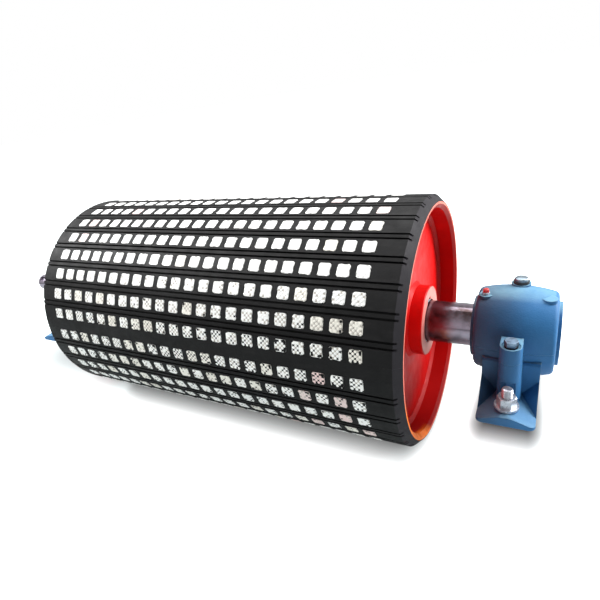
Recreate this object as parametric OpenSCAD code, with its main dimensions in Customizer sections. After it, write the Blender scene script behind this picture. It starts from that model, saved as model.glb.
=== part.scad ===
// Lagged conveyor drive pulley: a steel drum with ceramic-studded rubber lagging on a keyed
// shaft, carried by a split bearing block at each end.
// Frame: X runs along the shaft to the closed block, Z is up, and the origin lies midway
// between the blocks in the plane that their feet stand on. Millimetres.

/* [Drum] */
// Outside diameter of the steel shell
shell_d = 400; // [300:10:500]
// Wall thickness of the shell
shell_t = 10; // [6:1:14]
// Length of the shell from rim to rim
face_w = 750; // [690:10:800]
// Depth of each end disc inside its rim
disc_in = 37; // [30:1:60]
// Thickness of an end disc
disc_t = 16; // [10:1:25]
// Leg of the weld fillets round an end disc
weld_leg = 6; // [3:1:8]
// Outside diameter of a hub
hub_d = 120; // [110:2:150]
// How far a hub stands out of its disc
hub_out = 27; // [15:1:28]
// How far a hub reaches behind its disc
hub_in = 27; // [20:1:40]

/* [Lagging] */
// Thickness of the rubber lagging
lag_t = 12.5; // [10:0.5:16]
// Thickness left at the feather edge of the lagging
lag_edge_t = 1; // [0.5:0.5:3]
// Number of lagging sheets round the drum
sheet_count = 3; // [2:1:4]
// Rows of tiles in one sheet
sheet_rows = 11; // [6:1:11]
// Tiles in one row
row_tiles = 22; // [10:1:22]
// Side of a square ceramic tile
tile_w = 20; // [14:1:22]
// Cut across a tile's corners
tile_corner = 2.5; // [1:0.5:4]
// Depth of a tile in the rubber
tile_deep = 6; // [4:0.5:8]
// Height of a tile's studs over the rubber
tile_proud = 0.6; // [0.2:0.1:1]
// Distance between tile centres along the drum
tile_pitch = 30; // [26:1:30]
// Plain rubber between the drive-side rim and the first tile
tile_start = 46; // [30:1:50]
// Width of the strip that closes a seam between sheets
strip_w = 22; // [16:1:30]
// Rubber between a seam and the centre of the next row
row_edge = 11.5; // [11.5:0.5:14]
// Width of a drainage groove
groove_w = 3.3; // [2:0.1:4]
// Depth of a drainage groove
groove_deep = 4.5; // [2:0.5:6]
// Distance between the two grooves of a pair
groove_gap = 8.8; // [7:0.2:10]
// Turn of the first seam from the top towards the front
seam_turn = 81.5; // [0:0.5:119]

/* [Shaft] */
// Distance between the two bearing centres
bearing_span = 1000; // [980:10:1200]
// Diameter inside the hubs
hub_seat_d = 75; // [74:1:90]
// Diameter between a hub and its bearing block
seal_seat_d = 70; // [68:1:72]
// Diameter of the bearing seats
bearing_seat_d = 60; // [58:1:60]
// Diameter in the outer seal of the drive-side block
drive_seal_d = 52; // [51:1:57]
// Diameter of the drive end
drive_d = 40; // [36:1:50]
// Length of the drive end outside its bearing block
drive_l = 112; // [80:2:160]
// Width of the key in a hub
hub_key_w = 20; // [14:1:22]
// Height of the key in a hub
hub_key_h = 12; // [10:1:14]
// Length of the key in a hub
hub_key_l = 60; // [40:2:64]
// Depth of a hub key in the shaft
hub_key_deep = 7.5; // [5:0.5:8]
// Width of the keyway in the drive end
drive_key_w = 12; // [10:1:14]
// Depth of the keyway in the drive end
drive_key_deep = 5; // [4:0.5:6]
// Distance of the drive keyway from the shaft end
drive_key_off = 6; // [4:1:20]
// Chamfer on the shaft ends
end_chamfer = 2; // [1:0.5:3]

/* [Bearings] */
// Outside diameter of a bearing
ring_d = 130; // [126:1:132]
// Width of a bearing
ring_b = 31; // [31:1:34]
// Diameter of a ball
ball_d = 17; // [15:0.5:18]
// Balls in one row
ball_count = 13; // [9:1:13]
// Radius at which the balls run
ball_pitch_r = 48; // [47:0.5:48]
// Distance of each ball row from the bearing's middle
row_off = 6.9; // [6.5:0.1:7]
// Outside diameter of an inner ring's shoulders
inner_ring_d = 87; // [85:1:88]
// Wall of the ball cage
cage_t = 3; // [2:0.5:4]
// Gap between a ball and its races and pocket
ball_gap = 0.3; // [0.3:0.05:0.5]
// Outside diameter of a locknut
nut_d = 80; // [76:1:84]
// Width of a locknut
nut_b = 11; // [9:1:11]
// Thickness of a lock washer
lock_t = 1.5; // [1:0.1:1.8]
// Width of each locating ring beside the fixed bearing
locate_b = 12.5; // [12.5:0.5:14]

/* [Bearing block] */
// Height of the shaft centre over the feet
axis_h = 80; // [80:1:100]
// Length of the block along the shaft without its collars
block_l = 114; // [110:1:120]
// Radius of the barrel at its middle
barrel_r = 71; // [71:1:76]
// Drop of the barrel's radius towards its ends
barrel_drop = 8; // [5:1:9]
// Rounding of the barrel's end edges
barrel_edge = 8; // [4:1:10]
// Radius of the collars on both end faces
collar_r = 49; // [48:1:52]
// Length of a collar
collar_l = 5; // [4:1:12]
// Wall between the grease space and the outside, without the collar
end_wall = 17; // [17:1:20]
// Radius of the grease space beside the bearing seat
grease_r = 58; // [50:1:60]
// Width of a seal groove at the bore
seal_w = 10; // [8:0.5:11]
// Depth of a seal groove
seal_deep = 8; // [6:0.5:9]
// Radial gap between the shaft and the bore of a block
shaft_gap = 1; // [0.8:0.1:1.5]
// Width of the foot along the shaft
foot_w = 80; // [76:1:86]
// Length of the foot across the shaft
foot_l = 280; // [276:1:300]
// Corner radius of the foot in plan
foot_round = 9; // [4:1:12]
// Half the depth of the block under the barrel
pedestal_y = 74; // [73:1:79]
// Drop from the shaft centre to the shoulder where the pedestal starts
pedestal_top = 13; // [10:1:20]
// Thickness of the foot under its nut
foot_t = 17; // [15:1:20]
// Thickness of the foot at its edges
foot_edge_t = 4; // [3:1:8]
// Half width of the level ridge along the foot
foot_level = 2; // [1:0.5:8]
// Distance of a foundation stud from the end of its foot
stud_edge = 25; // [22:1:28]
// Width of a foot slot
slot_w = 18; // [17:0.5:20]
// Length of a foot slot
slot_l = 24; // [22:1:28]

/* [Fasteners] */
// Diameter of a foundation stud
stud_d = 16; // [14:1:16]
// Length of a stud under the foot
stud_under = 12; // [8:1:40]
// Length of a stud over its nut
stud_over = 13; // [4:1:20]
// Width across the flats of a foundation nut
stud_nut_af = 24; // [22:1:27]
// Height of a foundation nut
stud_nut_h = 14.8; // [12:0.1:16]
// Outside diameter of a foundation washer
washer_d = 34; // [30:1:36]
// Thickness of a foundation washer
washer_t = 3.5; // [2:0.5:5]
// Diameter of a cap bolt
cap_bolt_d = 12; // [10:1:14]
// Distance of a cap bolt from the shaft centre
cap_bolt_y = 88; // [87:0.5:90]
// Depth of a cap bolt in the base
cap_bolt_in = 26; // [20:1:34]
// Width across the flats of a cap bolt's head
cap_head_af = 17; // [16:1:18]
// Height of a cap bolt's head
cap_head_h = 8; // [6:0.5:10]
// Thickness of a cap bolt's spring washer
spring_t = 2.5; // [2:0.1:4]
// Radius of the ear round a cap bolt at its top
ear_r = 15; // [14:0.5:16]
// Height of an ear over the joint
ear_h = 25; // [20:1:28]
// Depth of the spot face in an ear
spot_deep = 2; // [1:0.5:3]
// Diameter of a dowel between cap and base
dowel_d = 5; // [4:0.5:6]
// Depth of a dowel in each half
dowel_deep = 9; // [6:1:12]

/* [Hidden] */
$fn = 96;

// Fits and small clearances
fit = 0.02;          // shaft seats and housing seats
run = 0.05;          // felts on the turning shaft
weld_gap = 0.05;     // welded pieces
glue = 0.1;          // rubber and tiles
play = 0.2;          // bolts, dowels and keys in their holes
bolt_room = 1.5;     // cap bolts in their ears
eps = 1;             // overrun of a cut

// Drum
shell_r = shell_d / 2;
shell_in_r = shell_r - shell_t;
drum_r = shell_r + lag_t;
disc_face = face_w / 2 - disc_in;
hub_face = disc_face + hub_out;
hub_back = disc_face - disc_t - hub_in;
hub_r = hub_d / 2;
hub_key_x = (hub_face + hub_back) / 2;

// Lagging, with angles from the top towards the front
sheet_turn = 360 / sheet_count;
strip_turn = strip_w / drum_r * 180 / PI;
edge_turn = row_edge / drum_r * 180 / PI;
row_turn = (sheet_turn - strip_turn - 2 * edge_turn) / (sheet_rows - 1);
groove_turn = groove_gap / 2 / drum_r * 180 / PI;
seam_gap_turn = 0.05;
bevel = lag_t - lag_edge_t;

// Bearings
bearing_x = bearing_span / 2;
ring_r = ring_d / 2;
race_r = norm([ball_pitch_r, row_off]) + ball_d / 2 + ball_gap;
groove_r = ball_d / 2 + ball_gap;
nut_x = ring_b / 2 + lock_t;
locate_wall = 10;
key_tab_w = 8;
drive_key_turn = 38;

// Bearing block, seen from its bearing's middle
block_x = block_l / 2;
seat_x = ring_b / 2 + locate_b;
wall_x = block_x - end_wall;
collar_x = block_x + collar_l;
barrel_curve_r = (block_x * block_x + barrel_drop * barrel_drop) / (2 * barrel_drop);
barrel_curve_off = barrel_curve_r - barrel_r;
edge_x = block_x - barrel_edge;
edge_turn_r = barrel_curve_r - barrel_edge;
edge_r = sqrt(edge_turn_r * edge_turn_r - edge_x * edge_x) - barrel_curve_off;
seal_lip = 1;
seal_x = block_x - seal_w - seal_lip;
seal_taper = 2;
drive_gap_r = drive_seal_d / 2 + shaft_gap;
drive_start_x = bearing_x + collar_x;
drive_end_x = drive_start_x + drive_l;
stud_y = foot_l / 2 - stud_edge;
foot_top = foot_t - axis_h;
bolt_seat = ear_h - spot_deep;
spot_rim = 2.5;
spot_r = ear_r - spot_rim;
ear_draft = 0.02;
dowel_x = 10.5;
dowel_wall = 12;
dowel_y = ring_r + dowel_wall;
spring_r = cap_head_af / 2 + 1;

// Top of the cap
plug_x = 3;
plug_y = 21;
plug_boss_r = 14;
plug_boss_h = 72;
plug_hole_r = 6;
plug_deep = 6;
plug_r = 10;
plug_h = 6;
plug_washer_r = 11.5;
plug_washer_t = 4;
pad_edge = 13;
pad_x = block_x - pad_edge;
pad_y = 14;
pad_r = 10.5;
pad_h = 66;
nipple_r = 4;
nipple_af = 10;

// ---------------------------------------------------------------- helpers

module on_axis() {
    translate([0, 0, axis_h]) children();
}

// Moves to a bearing's middle, with local +X pointing away from the drum.
module at_block(side) {
    mirror([side < 0 ? 1 : 0, 0, 0]) translate([bearing_x, 0, axis_h]) children();
}

module both_sides() {
    for (side = [-1, 1]) at_block(side) children();
}

// A body turned about X from points [radius, x].
module turned(points) {
    rotate([0, 90, 0]) rotate_extrude() polygon(points);
}

// A ring turned about X, square in section.
module ring(r_in, r_out, x0, x1) {
    turned([[r_in, x0], [r_out, x0], [r_out, x1], [r_in, x1]]);
}

// A solid of revolution through an angle, from the top towards the front.
module turned_sector(points, from, turn) {
    rotate([0, 90, 0]) rotate([0, 0, from + 180]) rotate_extrude(angle = turn) polygon(points);
}

module hexagon(af) {
    circle(d = af / cos(30), $fn = 6);
}

// A nut or bolt head with its corners turned off, from z = 0 upward.
module hex_head(af, h, hole_r = 0) {
    corner_r = af / 2 / cos(30);
    cut = (corner_r - af / 2) * 0.6;
    difference() {
        intersection() {
            linear_extrude(h) hexagon(af);
            rotate_extrude() polygon([[0, 0], [corner_r, 0], [corner_r, h - cut],
                                      [corner_r - 1.7 * cut, h], [0, h]]);
        }
        if (hole_r > 0) translate([0, 0, -eps]) cylinder(r = hole_r, h = h + 2 * eps);
    }
}

// A slot with round ends, centred, long along X.
module slot_shape(length, width) {
    square([length - width, width], center = true);
    for (s = [-1, 1]) translate([s * (length - width) / 2, 0]) circle(d = width);
}

// ---------------------------------------------------------------- bearing block

// Half section of the barrel in [radius, x], a shallow arc with rounded end edges.
module barrel_section() {
    tangent_x = edge_x * barrel_curve_r / edge_turn_r;
    intersection() {
        translate([-barrel_curve_off, 0]) circle(r = barrel_curve_r, $fn = 720);
        translate([0, -tangent_x]) square([barrel_r + eps, 2 * tangent_x]);
    }
    translate([0, -block_x]) square([edge_r, 2 * block_x]);
    for (s = [-1, 1]) translate([edge_r, s * edge_x]) circle(r = barrel_edge, $fn = 48);
}

module barrel() {
    rotate([0, 90, 0]) rotate_extrude() intersection() {
        barrel_section();
        translate([0, -block_x - eps]) square([barrel_r + eps, block_l + 2 * eps]);
    }
    ring(0, collar_r, -collar_x, collar_x);
}

// Everything that is cut out of a block along the shaft, from a radius at each side.
module block_bore(inner_r, outer_r) {
    ring(0, ring_r + fit, -seat_x, seat_x);
    ring(0, grease_r, -wall_x, wall_x);
    block_end_bore(inner_r, -1);
    block_end_bore(outer_r, 1);
}

module block_end_bore(bore_r, dir) {
    mirror([dir < 0 ? 1 : 0, 0, 0]) {
        ring(0, bore_r, wall_x - eps, collar_x + eps);
        turned([[0, seal_x], [bore_r, seal_x], [bore_r + seal_deep, seal_x + seal_taper],
                [bore_r + seal_deep, seal_x + seal_w - seal_taper],
                [bore_r, seal_x + seal_w], [0, seal_x + seal_w]]);
    }
}

// The round column for a cap bolt, from y = 0 out to the bolt, wider towards the foot.
module ear_column(low, high) {
    low_r = ear_r + ear_draft * (ear_h - low);
    high_r = ear_r + ear_draft * (ear_h - high);
    translate([0, -cap_bolt_y, low]) cylinder(r1 = low_r, r2 = high_r, h = high - low);
    rotate([90, 0, 0]) linear_extrude(cap_bolt_y)
        polygon([[-low_r, low], [low_r, low], [high_r, high], [-high_r, high]]);
}

module each_end() {
    for (turn = [0, 180]) rotate([0, 0, turn]) children();
}

module foot_plan() {
    square([foot_w, foot_l - 2 * foot_round], center = true);
    square([foot_w - 2 * foot_round, foot_l], center = true);
    for (sx = [-1, 1], sy = [-1, 1])
        translate([sx * (foot_w / 2 - foot_round), sy * (foot_l / 2 - foot_round)])
            circle(r = foot_round);
}

// The foot falls from a ridge under the stud to its two long edges, and a little at its ends.
module foot_form() {
    half_w = foot_w / 2;
    half_l = foot_l / 2;
    nose_l = 10;
    nose_drop = 2.5;
    intersection() {
        translate([0, 0, -axis_h]) linear_extrude(foot_t + eps) foot_plan();
        rotate([90, 0, 0]) translate([0, -axis_h, -half_l - eps]) linear_extrude(foot_l + 2 * eps)
            polygon([[-half_w, 0], [half_w, 0], [half_w, foot_edge_t], [foot_level, foot_t],
                     [-foot_level, foot_t], [-half_w, foot_edge_t]]);
        rotate([90, 0, 90]) translate([0, -axis_h, -half_w - eps]) linear_extrude(foot_w + 2 * eps)
            polygon([[-half_l, 0], [half_l, 0], [half_l, foot_t - nose_drop],
                     [half_l - nose_l, foot_t], [nose_l - half_l, foot_t],
                     [-half_l, foot_t - nose_drop]]);
    }
    each_end() {
        translate([0, -stud_y, -axis_h]) cylinder(r = washer_d / 2 - 1, h = foot_t);
        for (side = [0, 1]) mirror([side, 0, 0]) gusset(half_w);
    }
}

// The web in the corner between the block and one long edge of the foot.
module gusset(edge) {
    web_l = 42;
    web_h = 36;
    inner_h = 6;
    back = eps - pedestal_y;
    low = foot_edge_t - axis_h;
    polyhedron([[ear_r, back, low + inner_h], [edge, -pedestal_y - web_l, low],
                [edge, back, low + web_h], [edge, back, -axis_h]],
               [[0, 2, 1], [0, 3, 2], [1, 2, 3], [0, 1, 3]]);
}

module pedestal() {
    slope = 3;
    rotate([90, 0, 90]) translate([0, 0, -foot_w / 2]) linear_extrude(foot_w)
        polygon([[-pedestal_y, -axis_h], [pedestal_y, -axis_h],
                 [pedestal_y, -pedestal_top - slope], [pedestal_y - slope, -pedestal_top],
                 [slope - pedestal_y, -pedestal_top], [-pedestal_y, -pedestal_top - slope]]);
}

module block_base(outer_r) {
    half = foot_l;
    core_out = pedestal_y - 9;
    core_l = 20;
    core_h = 22;
    core_w = 56;
    difference() {
        union() {
            intersection() {
                barrel();
                translate([-half, -half, -2 * half]) cube([2 * half, 2 * half, 2 * half]);
            }
            pedestal();
            foot_form();
            each_end() ear_column(foot_top - eps, 0);
        }
        block_bore(seal_seat_d / 2 + shaft_gap, outer_r);
        each_end() {
            translate([0, -stud_y, foot_top])
                cylinder(d = washer_d + eps, h = washer_t + stud_nut_h + stud_over + eps);
            translate([0, -stud_y, -axis_h - eps]) linear_extrude(foot_t + 3 * eps)
                rotate(90) slot_shape(slot_l, slot_w);
            translate([0, -cap_bolt_y, -cap_bolt_in - 2 * eps])
                cylinder(d = cap_bolt_d + play, h = cap_bolt_in + 4 * eps);
            translate([-core_w / 2, -core_out, -axis_h - eps])
                cube([core_w, core_l, core_h + eps]);
        }
        dowel_places() translate([0, 0, -dowel_deep - play])
            cylinder(d = dowel_d + fit, h = dowel_deep + 1);
    }
}

module block_cap(outer_r) {
    half = foot_l;
    difference() {
        union() {
            intersection() {
                barrel();
                translate([-half, -half, 0]) cube([2 * half, 2 * half, 2 * half]);
            }
            each_end() ear_column(0, ear_h);
            translate([plug_x, plug_y, 0]) cylinder(r = plug_boss_r, h = plug_boss_h);
            for (s = [-1, 1]) translate([s * pad_x, -pad_y, 0]) cylinder(r = pad_r, h = pad_h);
        }
        block_bore(seal_seat_d / 2 + shaft_gap, outer_r);
        each_end() {
            translate([0, -cap_bolt_y, bolt_seat]) cylinder(r = spot_r, h = 2 * ear_h);
            translate([0, -cap_bolt_y, -eps]) cylinder(d = cap_bolt_d + bolt_room, h = ear_h + eps);
        }
        translate([plug_x, plug_y, 0]) cylinder(r = plug_hole_r + fit, h = plug_boss_h + eps);
        translate([-pad_x, -pad_y, 0]) cylinder(r = nipple_r + fit, h = pad_h + eps);
        dowel_places() translate([0, 0, -1]) cylinder(d = dowel_d + fit, h = dowel_deep + play + 1);
    }
}

module dowel_places() {
    for (s = [-1, 1]) translate([s * dowel_x, s * dowel_y, 0]) children();
}

module right_base() {
    color([0.18, 0.36, 0.58]) at_block(1) block_base(seal_seat_d / 2 + shaft_gap);
}

module right_cap() {
    color([0.22, 0.41, 0.64]) at_block(1) block_cap(seal_seat_d / 2 + shaft_gap);
}

module left_base() {
    color([0.18, 0.36, 0.58]) at_block(-1) block_base(drive_gap_r);
}

module left_cap() {
    color([0.22, 0.41, 0.64]) at_block(-1) block_cap(drive_gap_r);
}

// ---------------------------------------------------------------- fasteners and fittings

module cap_bolts() {
    color([0.25, 0.27, 0.3]) both_sides() each_end() translate([0, -cap_bolt_y, 0]) {
        translate([0, 0, bolt_seat + spring_t]) hex_head(cap_head_af, cap_head_h);
        translate([0, 0, -cap_bolt_in])
            cylinder(d = cap_bolt_d, h = cap_bolt_in + bolt_seat + spring_t + eps);
    }
}

module spring_washers() {
    color([0.12, 0.12, 0.13]) both_sides() each_end()
        translate([0, -cap_bolt_y, bolt_seat]) difference() {
            cylinder(r = spring_r, h = spring_t);
            translate([0, 0, -eps]) cylinder(d = cap_bolt_d + 2 * play, h = spring_t + 2 * eps);
        }
}

module cap_dowels() {
    color([0.6, 0.6, 0.62]) both_sides() dowel_places()
        translate([0, 0, -dowel_deep]) cylinder(d = dowel_d, h = 2 * dowel_deep);
}

module foot_studs() {
    stud_l = stud_under + foot_t + washer_t + stud_nut_h + stud_over;
    upper_r = stud_d / 2 - 0.3;
    tip = 1.5;
    color([0.8, 0.81, 0.83]) both_sides() each_end()
        translate([0, -stud_y, -axis_h - stud_under]) rotate_extrude()
        polygon([[0, 0], [stud_d / 2 - tip, 0], [stud_d / 2, tip], [stud_d / 2, stud_under],
                 [upper_r, stud_under], [upper_r, stud_l - tip], [upper_r - tip, stud_l],
                 [0, stud_l]]);
}

module foot_nuts() {
    color([0.78, 0.79, 0.8]) both_sides() each_end()
        translate([0, -stud_y, foot_top + washer_t])
        hex_head(stud_nut_af, stud_nut_h, stud_d / 2 + play / 2);
}

module foot_washers() {
    color([0.75, 0.76, 0.78]) both_sides() each_end()
        translate([0, -stud_y, foot_top]) difference() {
            cylinder(d = washer_d, h = washer_t);
            translate([0, 0, -eps]) cylinder(d = stud_d + 1, h = washer_t + 2 * eps);
        }
}

module top_plugs() {
    rim = 3;
    color([0.5, 0.53, 0.56]) both_sides() {
        translate([plug_x, plug_y, plug_boss_h + plug_washer_t]) rotate_extrude() intersection() {
            union() {
                square([plug_r, rim]);
                translate([0, rim]) scale([1, (plug_h - rim) / plug_r]) circle(r = plug_r);
            }
            square([plug_r, plug_h]);
        }
        translate([plug_x, plug_y, plug_boss_h - plug_deep])
            cylinder(r = plug_hole_r, h = plug_deep + plug_washer_t + eps);
    }
}

module plug_washers() {
    color([0.05, 0.05, 0.06]) both_sides() translate([plug_x, plug_y, plug_boss_h]) difference() {
        cylinder(r = plug_washer_r, h = plug_washer_t);
        translate([0, 0, -eps]) cylinder(r = plug_hole_r + play, h = plug_washer_t + 2 * eps);
    }
}

module grease_nipples() {
    hex_h = 3.5;
    neck_r = 2.2;
    head_r = 3.2;
    shank = 9;
    color([0.76, 0.77, 0.79]) both_sides() translate([-pad_x, -pad_y, pad_h]) {
        hex_head(nipple_af, hex_h);
        translate([0, 0, -shank]) cylinder(r = nipple_r, h = shank + eps);
        rotate_extrude() polygon([[0, 0], [neck_r, 0], [neck_r, hex_h + 1], [head_r, hex_h + 2],
                                  [head_r, hex_h + 3], [1.5, hex_h + 4.2], [0, hex_h + 4.2]]);
    }
}

module nipple_caps() {
    skin = 1;
    inner_r = 3.4;
    inner_h = 4.5;
    color([0.75, 0.08, 0.08]) both_sides() translate([-pad_x, -pad_y, pad_h + 3.5])
        rotate_extrude() polygon([[inner_r, 0], [inner_r + skin, 0], [inner_r + skin, inner_h],
                                  [inner_r - 0.6, inner_h + skin], [0, inner_h + skin],
                                  [0, inner_h], [inner_r, inner_h]]);
}

// ---------------------------------------------------------------- bearings and seals

module outer_ring() {
    half = ring_b / 2;
    cut = 1.5;
    thick = 25;
    difference() {
        turned([[ring_r - thick, -half], [ring_r - cut, -half], [ring_r, cut - half],
                [ring_r, half - cut], [ring_r - cut, half], [ring_r - thick, half]]);
        sphere(r = race_r, $fn = 144);
    }
}

module inner_ring() {
    half = ring_b / 2;
    cut = 1;
    bore_r = bearing_seat_d / 2 + fit;
    rotate([0, 90, 0]) rotate_extrude() difference() {
        polygon([[bore_r, -half], [inner_ring_d / 2 - cut, -half], [inner_ring_d / 2, cut - half],
                 [inner_ring_d / 2, half - cut], [inner_ring_d / 2 - cut, half], [bore_r, half]]);
        for (s = [-1, 1]) translate([ball_pitch_r, s * row_off]) circle(r = groove_r);
    }
}

// Both rows of balls, the second one shifted by half a pitch.
module balls(gap = 0) {
    for (row = [0, 1], i = [0 : ball_count - 1])
        rotate([(i + row / 2) * 360 / ball_count, 0, 0])
            translate([(2 * row - 1) * row_off, 0, ball_pitch_r])
            sphere(r = ball_d / 2 + gap, $fn = 32);
}

module ball_cage() {
    half = ring_b / 2 - 1.5;
    difference() {
        ring(ball_pitch_r - cage_t / 2, ball_pitch_r + cage_t / 2, -half, half);
        balls(ball_gap);
    }
}

module right_outer_ring() {
    color([0.7, 0.71, 0.73]) at_block(1) outer_ring();
}

module left_outer_ring() {
    color([0.7, 0.71, 0.73]) at_block(-1) outer_ring();
}

module right_inner_ring() {
    color([0.7, 0.71, 0.73]) at_block(1) inner_ring();
}

module left_inner_ring() {
    color([0.7, 0.71, 0.73]) at_block(-1) inner_ring();
}

module right_balls() {
    color([0.85, 0.86, 0.88]) at_block(1) balls();
}

module left_balls() {
    color([0.85, 0.86, 0.88]) at_block(-1) balls();
}

module right_cage() {
    color([0.72, 0.55, 0.25]) at_block(1) ball_cage();
}

module left_cage() {
    color([0.72, 0.55, 0.25]) at_block(-1) ball_cage();
}

module locating_rings() {
    color([0.55, 0.56, 0.58]) at_block(-1) for (s = [-1, 1])
        translate([s * (ring_b / 2 + locate_b / 2), 0, 0])
        ring(ring_r - locate_wall, ring_r, -locate_b / 2, locate_b / 2);
}

// A felt that fills the seal groove and rubs on the shaft.
module felt(shaft_d, dir) {
    bore_r = shaft_d / 2 + shaft_gap;
    top_r = bore_r + seal_deep;
    x0 = seal_x + seal_taper;
    x1 = seal_x + seal_w - seal_taper;
    mirror([dir < 0 ? 1 : 0, 0, 0]) ring(shaft_d / 2 + run, top_r, x0, x1);
}

module shaft_felts() {
    color([0.78, 0.74, 0.64]) {
        at_block(1) felt(seal_seat_d, -1);
        at_block(-1) felt(seal_seat_d, -1);
        at_block(-1) felt(drive_seal_d, 1);
    }
}

module end_cover() {
    bore_r = seal_seat_d / 2 + shaft_gap;
    face_x = collar_x - 2;
    dish = 4;
    color([0.2, 0.38, 0.6]) at_block(1)
        turned([[0, wall_x + 2], [bore_r - play, wall_x + 2], [bore_r - play, seal_x + seal_taper],
                [bore_r + seal_deep - play, seal_x + seal_taper],
                [bore_r + seal_deep - play, seal_x + seal_w - seal_taper],
                [bore_r - play, seal_x + seal_w - seal_taper], [bore_r - play, face_x],
                [bore_r - 2 * dish, face_x], [bore_r - 3 * dish, face_x - dish],
                [0, face_x - dish]]);
}

// ---------------------------------------------------------------- shaft

// The shaft's half section, from the drive end to the closed end.
module shaft() {
    hub_r1 = hub_seat_d / 2;
    seal_r = seal_seat_d / 2;
    seat_r = bearing_seat_d / 2;
    drive_r = drive_d / 2;
    thread_r = seat_r - 0.2;
    seat_in = bearing_x - ring_b / 2;
    seat_out = bearing_x + nut_x;
    thread_end = seat_out + nut_b + 3;
    centre_r = 4;
    centre_l = 16;
    key_room = drive_l - 2 * drive_key_off;
    color([0.42, 0.37, 0.36]) on_axis() difference() {
        turned([[0, -drive_end_x], [drive_r - end_chamfer, -drive_end_x],
                [drive_r, end_chamfer - drive_end_x], [drive_r, -drive_start_x],
                [drive_seal_d / 2, -drive_start_x], [drive_seal_d / 2, -thread_end],
                [thread_r, -thread_end], [thread_r, -seat_out], [seat_r, -seat_out],
                [seat_r, -seat_in], [seal_r, -seat_in], [seal_r, 1 - hub_face],
                [hub_r1, 2 - hub_face], [hub_r1, hub_face - 2], [seal_r, hub_face - 1],
                [seal_r, seat_in], [seat_r, seat_in], [seat_r, seat_out], [thread_r, seat_out],
                [thread_r, thread_end - end_chamfer], [thread_r - end_chamfer, thread_end],
                [0, thread_end]]);
        for (s = [-1, 1]) {
            translate([s * hub_key_x, 0, hub_r1 - hub_key_deep]) linear_extrude(hub_key_deep + eps)
                slot_shape(hub_key_l + fit, hub_key_w + fit);
            translate([s * seat_out - (s > 0 ? lock_t : nut_b), -key_tab_w / 2, seat_r - 4])
                cube([nut_b + lock_t, key_tab_w, 4 + eps]);
        }
        rotate([drive_key_turn, 0, 0])
            translate([drive_key_off + key_room / 2 - drive_end_x, 0, drive_r - drive_key_deep])
            linear_extrude(drive_key_deep + eps) slot_shape(key_room, drive_key_w);
        for (x = [-drive_end_x, thread_end])
            translate([x, 0, 0]) rotate([0, 90, 0]) cylinder(r = centre_r, h = centre_l, center = true);
    }
}

module hub_keys() {
    color([0.5, 0.5, 0.52]) on_axis() for (s = [-1, 1])
        translate([s * hub_key_x, 0, hub_seat_d / 2 - hub_key_deep]) linear_extrude(hub_key_h)
        slot_shape(hub_key_l, hub_key_w);
}

module lock_washer() {
    tab = 1.2;
    tabs = 5;
    ring(bearing_seat_d / 2 + play, nut_d / 2 - 2, ring_b / 2, nut_x);
    for (i = [0 : tabs - 1]) rotate([i * 360 / tabs + 18, 0, 0])
        translate([ring_b / 2, -key_tab_w / 2 + tab, nut_d / 2 - 6])
        cube([lock_t, key_tab_w - 2 * tab, 8]);
    translate([ring_b / 2, -key_tab_w / 2 + play, bearing_seat_d / 2 - 3])
        cube([lock_t, key_tab_w - 2 * play, 6]);
}

module locknut() {
    slots = 4;
    slot_deep = 3.5;
    difference() {
        turned([[bearing_seat_d / 2 + fit, nut_x], [nut_d / 2 - 5, nut_x], [nut_d / 2, nut_x + 4],
                [nut_d / 2, nut_x + nut_b], [bearing_seat_d / 2 + fit, nut_x + nut_b]]);
        for (i = [0 : slots - 1]) rotate([i * 360 / slots, 0, 0])
            translate([nut_x - eps, -key_tab_w / 2, nut_d / 2 - slot_deep])
            cube([nut_b + 2 * eps, key_tab_w, slot_deep + eps]);
    }
}

module lock_washers() {
    color([0.5, 0.51, 0.53]) both_sides() lock_washer();
}

module right_locknut() {
    color([0.3, 0.3, 0.32]) at_block(1) locknut();
}

module left_locknut() {
    color([0.3, 0.3, 0.32]) at_block(-1) locknut();
}

// ---------------------------------------------------------------- drum

// One hub, with local +X pointing out of the drum's end.
module hub() {
    cut = 1.5;
    bore_r = hub_seat_d / 2 + fit;
    key_top = hub_seat_d / 2 - hub_key_deep + hub_key_h + play;
    on_axis() difference() {
        turned([[bore_r, hub_back], [hub_r - cut, hub_back], [hub_r, hub_back + cut],
                [hub_r, hub_face - cut], [hub_r - cut, hub_face], [bore_r, hub_face]]);
        translate([hub_key_x - hub_key_l / 2 - play, -hub_key_w / 2 - fit, 0])
            cube([hub_key_l + hub_out + hub_in, hub_key_w + 2 * fit, key_top]);
    }
}

// One end disc with the weld fillets at its hub and rim.
module end_disc() {
    r0 = hub_r + weld_gap;
    r1 = shell_in_r - weld_gap;
    back = disc_face - disc_t;
    on_axis() turned([[r0, back - weld_leg], [r0 + weld_leg, back], [r1 - weld_leg, back],
                      [r1, back - weld_leg], [r1, disc_face + weld_leg],
                      [r1 - weld_leg, disc_face], [r0 + weld_leg, disc_face],
                      [r0, disc_face + weld_leg]]);
}

module right_hub() {
    color([0.8, 0.1, 0.09]) hub();
}

module left_hub() {
    color([0.8, 0.1, 0.09]) mirror([1, 0, 0]) hub();
}

module right_end_disc() {
    color([0.85, 0.1, 0.08]) end_disc();
}

module left_end_disc() {
    color([0.85, 0.1, 0.08]) mirror([1, 0, 0]) end_disc();
}

module drum_shell() {
    half = face_w / 2;
    cut = 1;
    color([0.7, 0.08, 0.07]) on_axis()
        turned([[shell_in_r, cut - half], [shell_in_r + cut, -half], [shell_r, -half],
                [shell_r, half], [shell_in_r + cut, half], [shell_in_r, half - cut]]);
}

// ---------------------------------------------------------------- lagging

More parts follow.
